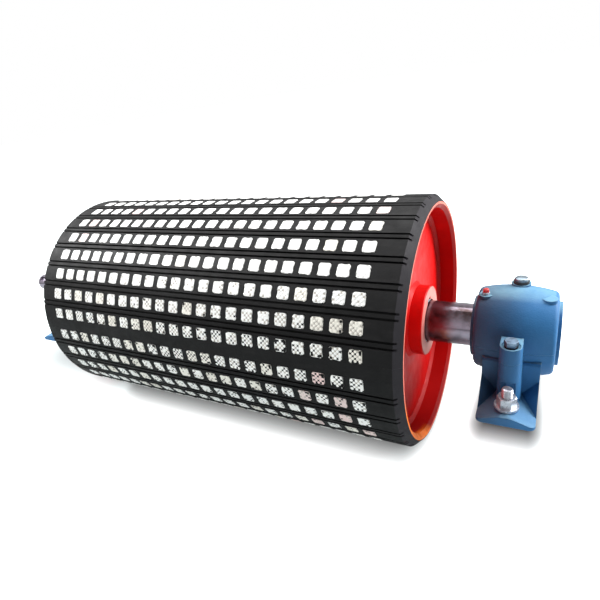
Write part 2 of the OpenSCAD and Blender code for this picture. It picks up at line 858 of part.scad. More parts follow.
// Points of the lagging's long section: flat on the shell, bevelled at both rims.
function lag_section() = [
    [shell_r + weld_gap, -face_w / 2], [shell_r + lag_edge_t, -face_w / 2],
    [drum_r, bevel - face_w / 2], [drum_r, face_w / 2 - bevel],
    [shell_r + lag_edge_t, face_w / 2], [shell_r + weld_gap, face_w / 2]];

function seam_at(i) = seam_turn + i * sheet_turn;
function row_at(i, j) = seam_at(i) + strip_turn / 2 + edge_turn + j * row_turn;
function tile_x(k) = tile_start + tile_w / 2 + k * tile_pitch - face_w / 2;

module tile_shape() {
    a = tile_w / 2;
    b = a - tile_corner;
    polygon([[b, a], [a, b], [a, -b], [b, -a], [-b, -a], [-a, -b], [-a, b], [-b, a]]);
}

// Puts its child at every tile of a sheet, from a depth under the rubber's surface.
module tile_places(i, deep) {
    for (j = [0 : sheet_rows - 1]) rotate([row_at(i, j), 0, 0])
        for (k = [0 : row_tiles - 1]) translate([tile_x(k), 0, drum_r - deep]) children();
}

module groove_pair(turn) {
    for (s = [-1, 1]) rotate([turn + s * groove_turn, 0, 0])
        translate([-face_w / 2 - eps, -groove_w / 2, drum_r - groove_deep])
        cube([face_w + 2 * eps, groove_w, 2 * groove_deep]);
}

module lagging_sheet(i) {
    color([0.13, 0.13, 0.14]) on_axis() difference() {
        turned_sector(lag_section(), seam_at(i) + strip_turn / 2, sheet_turn - strip_turn);
        for (j = [0 : sheet_rows - 2]) groove_pair(row_at(i, j + 0.5));
        tile_places(i, tile_deep + glue) linear_extrude(tile_deep + lag_t)
            square(tile_w + 2 * glue, center = true);
    }
}

module tiles(i) {
    color([0.93, 0.92, 0.88]) on_axis() tile_places(i, tile_deep)
        linear_extrude(tile_deep + tile_proud) tile_shape();
}

module lagging_sheet_1() {
    lagging_sheet(0);
}

module lagging_sheet_2() {
    lagging_sheet(1);
}

module lagging_sheet_3() {
    lagging_sheet(2);
}

module tiles_1() {
    tiles(0);
}

module tiles_2() {
    tiles(1);
}

module tiles_3() {
    tiles(2);
}

// The plain strips that close the seams between the sheets.
module lagging_strips() {
    color([0.1, 0.1, 0.11]) on_axis() for (i = [0 : sheet_count - 1])
        turned_sector(lag_section(), seam_at(i) - strip_turn / 2 + seam_gap_turn,
                      strip_turn - 2 * seam_gap_turn);
}

right_base();
right_cap();
left_base();
left_cap();
cap_bolts();
spring_washers();
cap_dowels();
foot_studs();
foot_nuts();
foot_washers();
top_plugs();
plug_washers();
grease_nipples();
nipple_caps();
right_outer_ring();
left_outer_ring();
locating_rings();
shaft_felts();
end_cover();
shaft();
hub_keys();
right_hub();
left_hub();
right_end_disc();
left_end_disc();
drum_shell();
lagging_sheet_1();
lagging_sheet_2();
lagging_sheet_3();
lagging_strips();
tiles_1();
tiles_2();
tiles_3();
right_inner_ring();
left_inner_ring();
right_locknut();
left_locknut();
lock_washers();
right_balls();
right_cage();
left_balls();
left_cage();
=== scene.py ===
"""Looks of a lagged conveyor drive pulley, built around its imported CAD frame. Metres, Z up."""
import math
import random

import bmesh
import bpy
import numpy as np
from mathutils import Matrix, Quaternion, Vector
from mathutils.geometry import delaunay_2d_cdt


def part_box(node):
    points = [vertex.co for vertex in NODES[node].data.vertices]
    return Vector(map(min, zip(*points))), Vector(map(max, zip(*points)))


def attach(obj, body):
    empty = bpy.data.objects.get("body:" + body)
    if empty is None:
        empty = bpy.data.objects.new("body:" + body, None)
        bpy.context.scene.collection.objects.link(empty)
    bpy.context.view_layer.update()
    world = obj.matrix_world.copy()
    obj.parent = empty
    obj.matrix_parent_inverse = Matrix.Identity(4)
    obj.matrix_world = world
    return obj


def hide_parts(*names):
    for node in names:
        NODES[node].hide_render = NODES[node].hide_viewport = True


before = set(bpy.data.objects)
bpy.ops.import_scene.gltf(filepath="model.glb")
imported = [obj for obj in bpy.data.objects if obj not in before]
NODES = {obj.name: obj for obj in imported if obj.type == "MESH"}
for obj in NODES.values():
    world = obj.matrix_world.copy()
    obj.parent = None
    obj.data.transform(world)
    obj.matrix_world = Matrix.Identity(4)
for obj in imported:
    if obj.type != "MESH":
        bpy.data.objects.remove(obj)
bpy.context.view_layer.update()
MM = 0.001


# ------------------------------------------------------------------ places from the frame

def node_points(*names):
    """Every vertex of these CAD nodes, as an array of points."""
    return np.array([v.co for name in names for v in NODES[name].data.vertices], float)


SHEETS = ("lagging_sheet_1", "lagging_sheet_2", "lagging_sheet_3")
TILES = ("tiles_1", "tiles_2", "tiles_3")
shaft_low, shaft_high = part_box("shaft")
AXIS_Z = (shaft_low.z + shaft_high.z) / 2


def radius_of(points):
    """Distance of each point from the shaft's axis."""
    return np.hypot(points[:, 1], points[:, 2] - AXIS_Z)


RUBBER_R = radius_of(node_points(*SHEETS)).max()
DRUM_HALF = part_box("drum_shell")[1].x
block_low, block_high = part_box("right_cap")
BLOCK_X = (block_low.x + block_high.x) / 2
SHELL_IN_R = radius_of(node_points("drum_shell")).min()
HUB_R = radius_of(node_points("right_hub")).max()
HUB_STANDOUT = 27 * MM           # from an end disc to its hub's end face
DISC_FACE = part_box("right_hub")[1].x - HUB_STANDOUT
FLOOR_GAP = 0.8 * MM
FLOOR_Z = AXIS_Z - RUBBER_R - FLOOR_GAP
LAGGING_BEVEL = 11.5 * MM        # width of the bevel at both ends of the lagging
RIM_FACE = 3.2 * MM              # what the bevel inside the shell's rim leaves of its end
RIM_BEVEL = 5.5 * MM             # depth of that bevel
DISC_WELD = 11 * MM              # width of the weld between an end disc and the shell
WORN_TURN = math.radians(50)     # worn side of the rim, from the bottom towards the front


def islands(mesh):
    """The points of each loose part of a mesh, one array each."""
    work = bmesh.new()
    work.from_mesh(mesh)
    bmesh.ops.remove_doubles(work, verts=work.verts, dist=1e-6)
    found, seen = [], set()
    for start in work.verts:
        if start in seen:
            continue
        part, todo = [], [start]
        seen.add(start)
        while todo:
            vert = todo.pop()
            part.append(vert.co.copy())
            for edge in vert.link_edges:
                other = edge.other_vert(vert)
                if other not in seen:
                    seen.add(other)
                    todo.append(other)
        found.append(np.array(part, float))
    work.free()
    return found


def turn_of(point):
    """Angle of a point round the shaft, from the top towards the front."""
    return math.atan2(-point[1], point[2] - AXIS_Z)


def share(value, start, span):
    """How far value has come from start over span, held between 0 and 1."""
    return min(1.0, max(0.0, (value - start) / span))


def row_start_and_pitch(places):
    """Angle of a sheet's first row of tiles, and from each row to the next."""
    middle = turn_of(np.mean([part.mean(0) for part in places], 0))
    turns = {round((turn_of(part.mean(0)) - middle + math.pi) % (2 * math.pi) - math.pi, 3)
             for part in places}
    return middle + min(turns), (max(turns) - min(turns)) / (len(turns) - 1)


# ------------------------------------------------------------------ material helpers

class Nodes:
    """A material's node tree, with short calls for the nodes used here."""

    def __init__(self, name):
        self.material = bpy.data.materials.new(name)
        self.material.use_nodes = True
        self.tree = self.material.node_tree
        self.shader = self.tree.nodes["Principled BSDF"]
        self.place = self.add("ShaderNodeTexCoord").outputs["Object"]

    def add(self, kind, **settings):
        node = self.tree.nodes.new(kind)
        for key, value in settings.items():
            setattr(node, key, value)
        return node

    def plug(self, source, socket):
        if isinstance(source, bpy.types.NodeSocket):
            self.tree.links.new(source, socket)
        else:
            socket.default_value = source

    def set(self, **sockets):
        """Sets the shader's own sockets, with _ for a space in their names."""
        for key, value in sockets.items():
            self.plug(value, self.shader.inputs[key.replace("_", " ")])

    def noise(self, scale, detail=4.0, stretch=(1, 1, 1)):
        node = self.add("ShaderNodeTexNoise")
        self.plug(self.stretched(stretch), node.inputs["Vector"])
        node.inputs["Scale"].default_value = scale
        node.inputs["Detail"].default_value = detail
        node.inputs["Roughness"].default_value = 0.55
        return node.outputs["Fac"]

    def stretched(self, stretch):
        if stretch == (1, 1, 1):
            return self.place
        node = self.add("ShaderNodeMapping")
        self.plug(self.place, node.inputs["Vector"])
        node.inputs["Scale"].default_value = stretch
        return node.outputs["Vector"]

    def ramp(self, value, low, high, out_low=0.0, out_high=1.0):
        """value mapped from low..high to out_low..out_high, held at both ends."""
        node = self.add("ShaderNodeMapRange")
        for socket, number in zip(node.inputs, (value, low, high, out_low, out_high)):
            self.plug(number, socket)
        return node.outputs["Result"]

    def math(self, operation, a, b=0.0):
        node = self.add("ShaderNodeMath", operation=operation)
        self.plug(a, node.inputs[0])
        self.plug(b, node.inputs[1])
        return node.outputs["Value"]

    def mix(self, factor, a, b, blend="MIX"):
        node = self.add("ShaderNodeMix", data_type="RGBA", blend_type=blend)
        self.plug(factor, node.inputs["Factor"])
        self.plug(colour(a), node.inputs["A"])
        self.plug(colour(b), node.inputs["B"])
        return node.outputs["Result"]

    def split(self, vector):
        node = self.add("ShaderNodeSeparateXYZ")
        self.plug(vector, node.inputs[0])
        return node.outputs

    def product(self, a, b):
        return self.math("MULTIPLY", a, b)

    def normal(self):
        return self.add("ShaderNodeNewGeometry").outputs["Normal"]

    def soft_edge(self, radius):
        """The surface normal with its sharp edges rounded off."""
        node = self.add("ShaderNodeBevel", samples=4)
        node.inputs["Radius"].default_value = radius
        return node.outputs["Normal"]

    def edge_mask(self, radius, low, high):
        """1 on the edges of a form and 0 on its faces."""
        node = self.add("ShaderNodeVectorMath", operation="DOT_PRODUCT")
        self.plug(self.soft_edge(radius), node.inputs[0])
        self.plug(self.normal(), node.inputs[1])
        bent = self.math("SUBTRACT", 1.0, node.outputs["Value"])
        return self.ramp(bent, low, high)

    def bump(self, height, distance, normal=None):
        node = self.add("ShaderNodeBump")
        self.plug(height, node.inputs["Height"])
        node.inputs["Distance"].default_value = distance
        node.inputs["Strength"].default_value = 1.0
        if normal is not None:
            self.plug(normal, node.inputs["Normal"])
        return node.outputs["Normal"]


def colour(value):
    """A node socket as it is, or three numbers as an opaque colour."""
    if isinstance(value, bpy.types.NodeSocket):
        return value
    return (*value, 1.0)


# ------------------------------------------------------------------ materials

def rubber(name, first=None, pitch=None):
    """Moulded lagging rubber with dust, darker in bands between the rows of tiles, and darkened
    low down by painted shade.

    first and pitch are the angles of the first row and from row to row, for a sheet with rows.
    """
    n = Nodes(name)
    x, y, z = n.split(n.place)
    dust = n.ramp(n.noise(9, 5), 0.42, 0.72)
    scuffs = n.ramp(n.noise(60, 3, stretch=(0.35, 1, 1)), 0.5, 0.75)
    base = n.mix(dust, (0.0048, 0.0048, 0.0051), (0.0092, 0.0089, 0.0094))
    base = n.mix(n.product(scuffs, 0.5), base, (0.018, 0.017, 0.0175))
    if pitch:
        turn = n.math("ARCTAN2", n.product(y, -1.0), n.math("SUBTRACT", z, AXIS_Z))
        since = n.math("FLOORED_MODULO", n.math("SUBTRACT", turn, first - pitch / 2), 2 * math.pi)
        rows = n.math("SUBTRACT", n.math("DIVIDE", since, pitch), 0.5)
        from_row = n.math("PINGPONG", rows, 0.5)
        band = n.ramp(from_row, 0.33, 0.36, 0.0, 0.62)
        base = n.mix(band, base, (0.0015, 0.0015, 0.0016))
    # Painted shade: the rubber is darkened towards the bottom of the drum at rest, where less light
    # falls.
    low = n.ramp(z, AXIS_Z + 80 * MM, AXIS_Z - 150 * MM, 0.0, 0.6)
    base = n.mix(low, base, (0.0012, 0.0012, 0.0013))
    # Dust and painted light: the bevel is made lighter, as where it turns towards the lamps.
    bevel_start = DRUM_HALF - LAGGING_BEVEL
    bevel = n.ramp(n.math("ABSOLUTE", x), bevel_start - 0.3 * MM, bevel_start + 0.3 * MM, 0.0, 0.8)
    base = n.mix(bevel, base, (0.020, 0.018, 0.022))
    n.set(Base_Color=base, Roughness=n.ramp(n.noise(45), 0.3, 0.7, 0.50, 0.68),
          Specular_IOR_Level=0.12)
    grain = n.math("ADD", n.noise(900, 2), n.product(n.noise(120, 3), 1.5))
    n.set(Normal=n.bump(grain, 0.25 * MM, n.soft_edge(0.5 * MM)))
    return n.material


def ceramic(name, clean, dull, soil_share):
    """Alumina between two tones, each tile different from the next, soiled in patches."""
    n = Nodes(name)
    tile = n.add("ShaderNodeNewGeometry").outputs["Random Per Island"]
    base = n.mix(tile, clean, dull)
    soil = n.ramp(n.noise(140, 4), 0.56, 0.85, 0.0, soil_share)
    base = n.mix(soil, base, (0.42, 0.39, 0.35))
    n.set(Base_Color=base, Roughness=n.ramp(n.noise(300), 0.3, 0.7, 0.22, 0.42),
          Specular_IOR_Level=0.5)
    n.set(Normal=n.bump(n.noise(1500, 2), 0.04 * MM))
    return n.material


def pit_dirt_and_shade():
    """Grey for the pits of tiles without rubber in them: dirt, and painted shade in these recesses.
    """
    n = Nodes("pit_dirt_and_painted_shade")
    n.set(Base_Color=n.mix(n.noise(300), (0.34, 0.31, 0.28), (0.56, 0.52, 0.46)), Roughness=0.75)
    n.set(Normal=n.bump(n.noise(1200), 0.1 * MM))
    return n.material


# A dark red that paints shade on the red parts.
PAINTED_SHADE_RED = (0.16, 0.001, 0.001)


def enamel(name, base, dark, gloss):
    """Brushed-on paint that drifts between two tones, darkened low down by painted shade, with a
    wavy skin.
    """
    n = Nodes(name)
    drift = n.ramp(n.noise(14, 4), 0.35, 0.7)
    # Painted shade: the paint is darkened towards the bottom, where less light falls.
    low = n.ramp(n.split(n.place)[2], AXIS_Z + 10 * MM, AXIS_Z - 120 * MM, 0.0, 0.45)
    n.set(Base_Color=n.mix(low, n.mix(drift, base, dark), PAINTED_SHADE_RED),
          Roughness=n.ramp(n.noise(35, 3), 0.3, 0.7, 0.34, 0.5), Specular_IOR_Level=gloss)
    skin = n.math("ADD", n.noise(160, 2), n.product(n.noise(24, 2), 2.0))
    n.set(Normal=n.bump(skin, 0.2 * MM, n.soft_edge(1.0 * MM)))
    return n


def painted(n):
    """The colour that already drives a material's shader."""
    return n.shader.inputs["Base Color"].links[0].from_socket


def drum_paint():
    """Bright red enamel of the end discs, with painted shade over the weld along the shell."""
    n = enamel("red_enamel", (0.68, 0.0045, 0.0045), (0.52, 0.004, 0.004), 0.10)
    _, y, z = n.split(n.place)
    up = n.math("SUBTRACT", z, AXIS_Z)
    radius = n.math("SQRT", n.math("ADD", n.product(y, y), n.product(up, up)))
    weld_r = SHELL_IN_R - DISC_WELD
    # Painted shade: the weld in the corner between disc and shell is darkened to a dark line.
    weld = n.ramp(radius, weld_r - 1 * MM, weld_r + 1 * MM, 0.0, 0.55)
    n.set(Base_Color=n.mix(weld, painted(n), (0.26, 0.002, 0.002)))
    return n.material


def rim_paint():
    """The shell's enamel: painted shade on the bevel, a painted highlight on its end face, and worn
    to primer low down.
    """
    n = enamel("rim_enamel", (0.50, 0.0050, 0.0050), (0.40, 0.004, 0.004), 0.06)
    x, y, z = n.split(n.place)
    out = n.math("ABSOLUTE", x)
    # Painted shade: the bevel inside the rim is darkened so that it shows no lighter than the wall
    # beside it.
    bevel_start = DRUM_HALF - RIM_BEVEL
    bevel = n.ramp(out, bevel_start - 0.5 * MM, bevel_start, 0.0, 0.65)
    tone = n.mix(bevel, painted(n), PAINTED_SHADE_RED)
    # Painted highlight: the rim's end face is made pale, as a lit, glossy edge.
    face = n.ramp(out, DRUM_HALF - 0.4 * MM, DRUM_HALF - 0.2 * MM, 0.0, 0.8)
    tone = n.mix(face, tone, (0.80, 0.22, 0.16))
    down = n.math("SUBTRACT", n.product(n.math("SUBTRACT", AXIS_Z, z), math.cos(WORN_TURN)),
                  n.product(y, math.sin(WORN_TURN)))
    low = n.ramp(down, 0.84 * SHELL_IN_R, 0.94 * SHELL_IN_R)
    edge = n.ramp(out, DRUM_HALF - 14 * MM, DRUM_HALF - 8 * MM)
    patchy = n.ramp(n.noise(50, 3), 0.3, 0.5, 0.6, 1.0)
    worn = n.product(n.product(low, edge), patchy)
    n.set(Base_Color=n.mix(worn, tone, (0.90, 0.20, 0.02)))
    return n.material


def hub_paint():
    """Red enamel whose turned end face carries a painted reflection in pale pink."""
    n = enamel("hub_enamel", (0.58, 0.006, 0.005), (0.44, 0.005, 0.005), 0.12)
    # Painted reflection: the end face, picked out by its normal, is made pale pink as if it
    # mirrored bright surroundings.
    facing = n.math("ABSOLUTE", n.split(n.normal())[0])
    face = n.ramp(facing, 0.9, 0.97)
    patchy = n.ramp(n.noise(60, 4), 0.3, 0.7, 0.75, 1.0)
    n.set(Base_Color=n.mix(n.product(face, patchy), painted(n), (0.70, 0.25, 0.21)))
    return n.material


def block_paint():
    """Satin blue paint over sand-cast iron: coarse skin, dust with a painted sheen on top, painted
    shade beside the drum.
    """
    n = Nodes("blue_casting")
    drift = n.ramp(n.noise(12, 5), 0.35, 0.68)
    base = n.mix(drift, (0.036, 0.155, 0.355), (0.026, 0.120, 0.280))
    # Painted shade: the side towards the drum is darkened, as the light comes from the other side.
    from_middle = n.math("ABSOLUTE", n.split(n.place)[0])
    painted_shade_by_drum = n.ramp(from_middle, BLOCK_X + 15 * MM, BLOCK_X - 50 * MM, 0.0, 0.75)
    base = n.mix(painted_shade_by_drum, base, (0.040, 0.055, 0.075))
    # Dust and painted sheen: upward faces are made paler blue, standing in part for gloss that
    # catches the overhead light.
    upward = n.split(n.normal())[2]
    dust_and_sheen = n.product(n.ramp(upward, 0.90, 1.0), n.ramp(n.noise(30, 4), 0.3, 0.6, 0.5, 1.0))
    base = n.mix(n.product(dust_and_sheen, 0.65), base, (0.22, 0.42, 0.52))
    edges = n.product(n.edge_mask(2.0 * MM, 0.03, 0.3), n.ramp(n.noise(90, 4), 0.35, 0.6))
    base = n.mix(n.product(edges, 0.4), base, (0.16, 0.32, 0.50))
    n.set(Base_Color=base, Roughness=n.ramp(n.noise(50, 3), 0.3, 0.7, 0.42, 0.58),
          Specular_IOR_Level=0.16)
    sand = n.math("ADD", n.product(n.noise(420, 3), 0.5), n.product(n.noise(70, 3), 1.2))
    n.set(Normal=n.bump(sand, 0.55 * MM, n.soft_edge(2.2 * MM)))
    return n.material


def cover_material():
    """The moulded end cover, painted over with the block."""
    n = Nodes("painted_cover")
    drift = n.ramp(n.noise(25, 4), 0.3, 0.7)
    base = n.mix(drift, (0.045, 0.115, 0.24), (0.03, 0.08, 0.17))
    n.set(Base_Color=base, Roughness=n.ramp(n.noise(60), 0.3, 0.7, 0.45, 0.6))
    n.set(Normal=n.bump(n.noise(250, 3), 0.2 * MM, n.soft_edge(1.0 * MM)))
    return n.material


def turned_steel(name, base, stain, rough, metallic=1.0):
    """Steel with the fine rings of a lathe round X, and blotches of oil or tarnish."""
    n = Nodes(name)
    rings = n.noise(2600, 2, stretch=(1, 0.004, 0.004))
    blotch = n.ramp(n.noise(26, 5), 0.4, 0.68)
    n.set(Base_Color=n.mix(blotch, base, stain), Metallic=metallic,
          Roughness=n.ramp(n.math("ADD", n.noise(40, 4), n.product(rings, 0.4)),
                           0.4, 1.0, *rough))
    n.set(Normal=n.bump(rings, 0.02 * MM, n.soft_edge(0.4 * MM)))
    return n.material


def plated(name, base, stain, rough, metallic=1.0):
    """Plated or blackened small parts: slight mottling and softened edges."""
    n = Nodes(name)
    blotch = n.ramp(n.noise(150, 4), 0.42, 0.7)
    n.set(Base_Color=n.mix(blotch, base, stain), Metallic=metallic,
          Roughness=n.ramp(n.noise(220, 3), 0.3, 0.7, *rough))
    n.set(Normal=n.bump(n.noise(700, 3), 0.05 * MM, n.soft_edge(0.4 * MM)))
    return n.material


def plain_rubber():
    n = Nodes("sealing_rubber")
    n.set(Base_Color=n.mix(n.noise(300), (0.012, 0.012, 0.013), (0.022, 0.022, 0.024)),
          Roughness=n.ramp(n.noise(500), 0.3, 0.7, 0.5, 0.65))
    n.set(Normal=n.bump(n.noise(900), 0.05 * MM, n.soft_edge(0.4 * MM)))
    return n.material


def red_plastic():
    n = Nodes("red_cap_plastic")
    n.set(Base_Color=n.mix(n.noise(200), (0.58, 0.02, 0.02), (0.46, 0.015, 0.015)),
          Roughness=n.ramp(n.noise(400), 0.3, 0.7, 0.25, 0.4))
    n.set(Normal=n.bump(n.noise(1200), 0.02 * MM, n.soft_edge(0.5 * MM)))
    return n.material


def wool_felt():
    n = Nodes("oiled_felt")
    n.set(Base_Color=n.mix(n.noise(500, 6), (0.48, 0.42, 0.30), (0.30, 0.25, 0.17)), Roughness=0.95,
          Sheen_Weight=0.4)
    n.set(Normal=n.bump(n.noise(1600, 4), 0.3 * MM))
    return n.material


SHAFT_STEEL = turned_steel("oiled_shaft_steel", (0.25, 0.22, 0.27), (0.045, 0.028, 0.028),
                           (0.10, 0.22), metallic=0.9)
BEARING_STEEL = turned_steel("ground_bearing_steel", (0.56, 0.57, 0.58), (0.42, 0.42, 0.43),
                             (0.14, 0.24))
ZINC = plated("bright_zinc", (0.48, 0.51, 0.56), (0.30, 0.32, 0.36), (0.24, 0.40),
              metallic=0.65)
BLACK_STEEL = plated("blackened_steel", (0.19, 0.26, 0.35), (0.07, 0.09, 0.12), (0.30, 0.5))
PLUG_STEEL = plated("plug_steel", (0.22, 0.27, 0.31), (0.12, 0.15, 0.18), (0.28, 0.45))
DARK_WASHER = plated("black_washer", (0.03, 0.03, 0.033), (0.015, 0.015, 0.016), (0.4, 0.6))
BRASS = plated("cage_brass", (0.72, 0.50, 0.20), (0.55, 0.36, 0.14), (0.2, 0.4))
TILE_PLACES = {name: islands(NODES[name].data) for name in TILES}
SHEET_RUBBER = [rubber(f"{sheet}_rubber", *row_start_and_pitch(TILE_PLACES[tiles]))
                for sheet, tiles in zip(SHEETS, TILES)]
RUBBER = rubber("plain_lagging_rubber")
CERAMIC = ceramic("white_alumina", (0.90, 0.90, 0.885), (0.93, 0.92, 0.89), 0.25)
CREAM = ceramic("cream_alumina", (0.88, 0.85, 0.78), (0.82, 0.78, 0.70), 0.4)
PINK = ceramic("pink_alumina", (0.80, 0.60, 0.58), (0.74, 0.62, 0.60), 0.4)
PIT_DIRT_AND_SHADE = pit_dirt_and_shade()
DRUM_PAINT = drum_paint()
RIM_PAINT = rim_paint()
HUB_PAINT = hub_paint()
BLOCK_PAINT = block_paint()
COVER = cover_material()
SEAL = plain_rubber()
RED_PLASTIC = red_plastic()
FELT = wool_felt()

NODE_MATERIALS = {
    BLOCK_PAINT: ("right_base", "right_cap", "left_base", "left_cap"),
    COVER: ("end_cover",),
    BLACK_STEEL: ("cap_bolts", "right_locknut", "left_locknut"),
    DARK_WASHER: ("spring_washers",),
    PLUG_STEEL: ("top_plugs",),
    SEAL: ("plug_washers",),
    RED_PLASTIC: ("nipple_caps",),
    ZINC: ("foot_studs", "foot_nuts", "foot_washers", "grease_nipples", "lock_washers",
           "hub_keys", "cap_dowels"),
    FELT: ("shaft_felts",),
    BRASS: ("right_cage", "left_cage"),
    BEARING_STEEL: ("right_outer_ring", "left_outer_ring", "right_inner_ring", "left_inner_ring",
                    "locating_rings", "right_balls", "left_balls"),
    SHAFT_STEEL: ("shaft",),
    DRUM_PAINT: ("right_end_disc", "left_end_disc"),
    RIM_PAINT: ("drum_shell",),
    HUB_PAINT: ("right_hub", "left_hub"),
    RUBBER: ("lagging_strips",),
    **{material: (sheet,) for material, sheet in zip(SHEET_RUBBER, SHEETS)},
    CERAMIC: TILES,
}


def dress_nodes():
    """Gives every CAD node its material."""
    for material, names in NODE_MATERIALS.items():
        for name in names:
            mesh = NODES[name].data
            mesh.materials.clear()
            mesh.materials.append(material)


# ------------------------------------------------------------------ mesh helpers

def new_piece(name, points, faces, materials, body, face_materials=None, smooth=None):
    """A mesh piece that rides on a body. smooth is the angle under which edges shade smooth."""
    mesh = bpy.data.meshes.new(name)
    mesh.from_pydata([tuple(p) for p in points], [], [tuple(f) for f in faces])
    for material in materials:
        mesh.materials.append(material)
    if face_materials is not None:
        mesh.polygons.foreach_set("material_index", face_materials)
    mesh.validate()
    if smooth is not None:
        mesh.shade_smooth()
        mesh.set_sharp_from_angle(angle=math.radians(smooth))
    piece = bpy.data.objects.new(name, mesh)
    bpy.context.scene.collection.objects.link(piece)
    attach(piece, body)
    return piece


def circle(radius, count, centre=(0.0, 0.0), turn=0.0):
    """Corners of a regular polygon, anticlockwise."""
    return [(centre[0] + radius * math.cos(turn + 2 * math.pi * i / count),
             centre[1] + radius * math.sin(turn + 2 * math.pi * i / count)) for i in range(count)]


# ------------------------------------------------------------------ studded tiles

STUD_PITCH = 3.5 * MM      # half the diagonal lattice of the studs
STUD_BASE_R = 2.3 * MM
STUD_TOP_R = 1.5 * MM
STUD_H = 0.55 * MM         # height of a stud's top over the rubber
TILE_CORNER = 2.5 * MM
PLATEAU = 0.08 * MM        # height of a tile's face over the rubber
TILE_SINK = 2.5 * MM       # how far a tile's sides reach into the rubber


def lattice(odd, reach):
    """Points of one of the two interlocked lattices: 0 for the studs and 1 for the pits."""
    steps = range(-reach, reach + 1)
    return [(i * STUD_PITCH, j * STUD_PITCH) for i in steps for j in steps if (i + j) % 2 == odd]


def tile_outline(half):
    """The tile's eight corners, with points along its sides where studs and gaps meet."""
    cut = half - TILE_CORNER
    stops = [k * STUD_PITCH / 2 for k in (-3, -1, 1, 3)]
    side = [(half, -cut), *((half, y) for y in stops), (half, cut)]
    return [(x * math.cos(a) - y * math.sin(a), x * math.sin(a) + y * math.cos(a))
            for a in (0, math.pi / 2, math.pi, 1.5 * math.pi) for x, y in side]


def inside_tile(x, y, half):
    """Whether a point lies within the tile's eight sides."""
    return max(abs(x), abs(y)) < half and abs(x) + abs(y) < 2 * half - TILE_CORNER


def tile_prototype(half):
    """One studded tile round the origin: points, faces and the part that each face belongs to."""
    studs = lattice(0, 2)
    pits = lattice(1, 3)
    loops = [tile_outline(half)] + [circle(STUD_BASE_R, 8, c, math.pi / 8) for c in studs]
    corners = [p for loop in loops for p in loop]
    edges, start = [], 0
    for loop in loops:
        count = len(loop)
        edges += [(start + i, start + (i + 1) % count) for i in range(count)]
        start += count
    rim = 2 * STUD_PITCH + STUD_BASE_R * math.cos(math.pi / 8)
    edges += border_edges(corners, rim)
    flat, _, triangles, *_ = delaunay_2d_cdt([Vector(p) for p in corners], edges, [], 0, 1e-7)
    points = [(p.x, p.y, PLATEAU) for p in flat]
    faces, parts = [], []
    for triangle in triangles:
        x = sum(flat[i].x for i in triangle) / 3
        y = sum(flat[i].y for i in triangle) / 3
        if not inside_tile(x, y, half):
            continue
        if any(math.hypot(x - c[0], y - c[1]) < STUD_BASE_R * 0.93 for c in studs):
            continue
        faces.append(list(triangle))
        if max(abs(x), abs(y)) > rim:
            parts.append(("rim", nearest(pits + studs, (x, y))))
        else:
            parts.append(("pit", nearest(pits, (x, y))))
    add_studs(points, faces, parts, studs)
    add_sides(points, faces, parts)
    return drop_unused(points, faces), parts


def border_edges(corners, rim):
    """Edges between neighbouring studs along the four sides of a tile."""
    edges = []
    for axis in (0, 1):
        for side in (-rim, rim):
            line = [k for k, p in enumerate(corners)
                    if abs(p[axis] - side) < 1e-6 and abs(p[1 - axis]) < rim]
            line.sort(key=lambda k: corners[k][1 - axis])
            edges += list(zip(line, line[1:]))
    return edges


def add_studs(points, faces, parts, studs):
    """Raises a stud with a flat top over each of its eight-sided holes in the face."""
    for number, centre in enumerate(studs):
        base = [nearest(points, p) for p in circle(STUD_BASE_R, 8, centre, math.pi / 8)]
        start = len(points)
        points.extend((x, y, STUD_H) for x, y in circle(STUD_TOP_R, 8, centre, math.pi / 8))
        faces.extend([base[i], base[i - 7], start + (i + 1) % 8, start + i] for i in range(8))
        faces.append([start + i for i in range(8)])
        parts.extend([("stud", number)] * 9)


def nearest(points, target):
    """Number of the point that lies nearest to the target, seen from above."""
    return min(range(len(points)),
               key=lambda i: (points[i][0] - target[0]) ** 2 + (points[i][1] - target[1]) ** 2)


def add_sides(points, faces, parts):
    """Closes a tile with its sides and its underside."""
    rim_edges = {}
    for face in faces:
        for a, b in zip(face, face[1:] + face[:1]):
            if (b, a) in rim_edges:
                del rim_edges[(b, a)]
            else:
                rim_edges[(a, b)] = True
    following = dict(rim_edges.keys())
    first = next(iter(following))
    loop, at = [first], following[first]
    while at != first:
        loop.append(at)
        at = following[at]
    start = len(points)
    points.extend((points[i][0], points[i][1], -TILE_SINK) for i in loop)
    count = len(loop)
    for i in range(count):
        j = (i + 1) % count
        faces.append([loop[j], loop[i], start + i, start + j])
    faces.append([start + i for i in reversed(range(count))])
    parts.extend([("side", 0)] * (count + 1))


def drop_unused(points, faces):
    """The points that faces use, and the faces with their new numbers."""
    used = sorted({i for face in faces for i in face})
    number = {old: new for new, old in enumerate(used)}
    return [points[i] for i in used], [[number[i] for i in face] for face in faces]


TILE_MATERIALS = (CERAMIC, CREAM, PINK, RUBBER, PIT_DIRT_AND_SHADE)
WHITE_NUMBER, CREAM_NUMBER, PINK_NUMBER, RUBBER_NUMBER, PIT_DIRT_AND_SHADE_NUMBER = range(5)
CORNER_STUDS = (0, 2, 10, 12)
LIT_TOP_TURN = math.radians(48)     # pits of tiles nearer to the top than this stay white: painted light
SHADING_TURN = math.radians(34)   # and are darkened fully over this further turn: painted shade, with some dirt
CLEARING_TURN = math.radians(84)     # where the pits begin to clear again
CLEARING_SPAN = math.radians(20)    # and the further turn over which they do


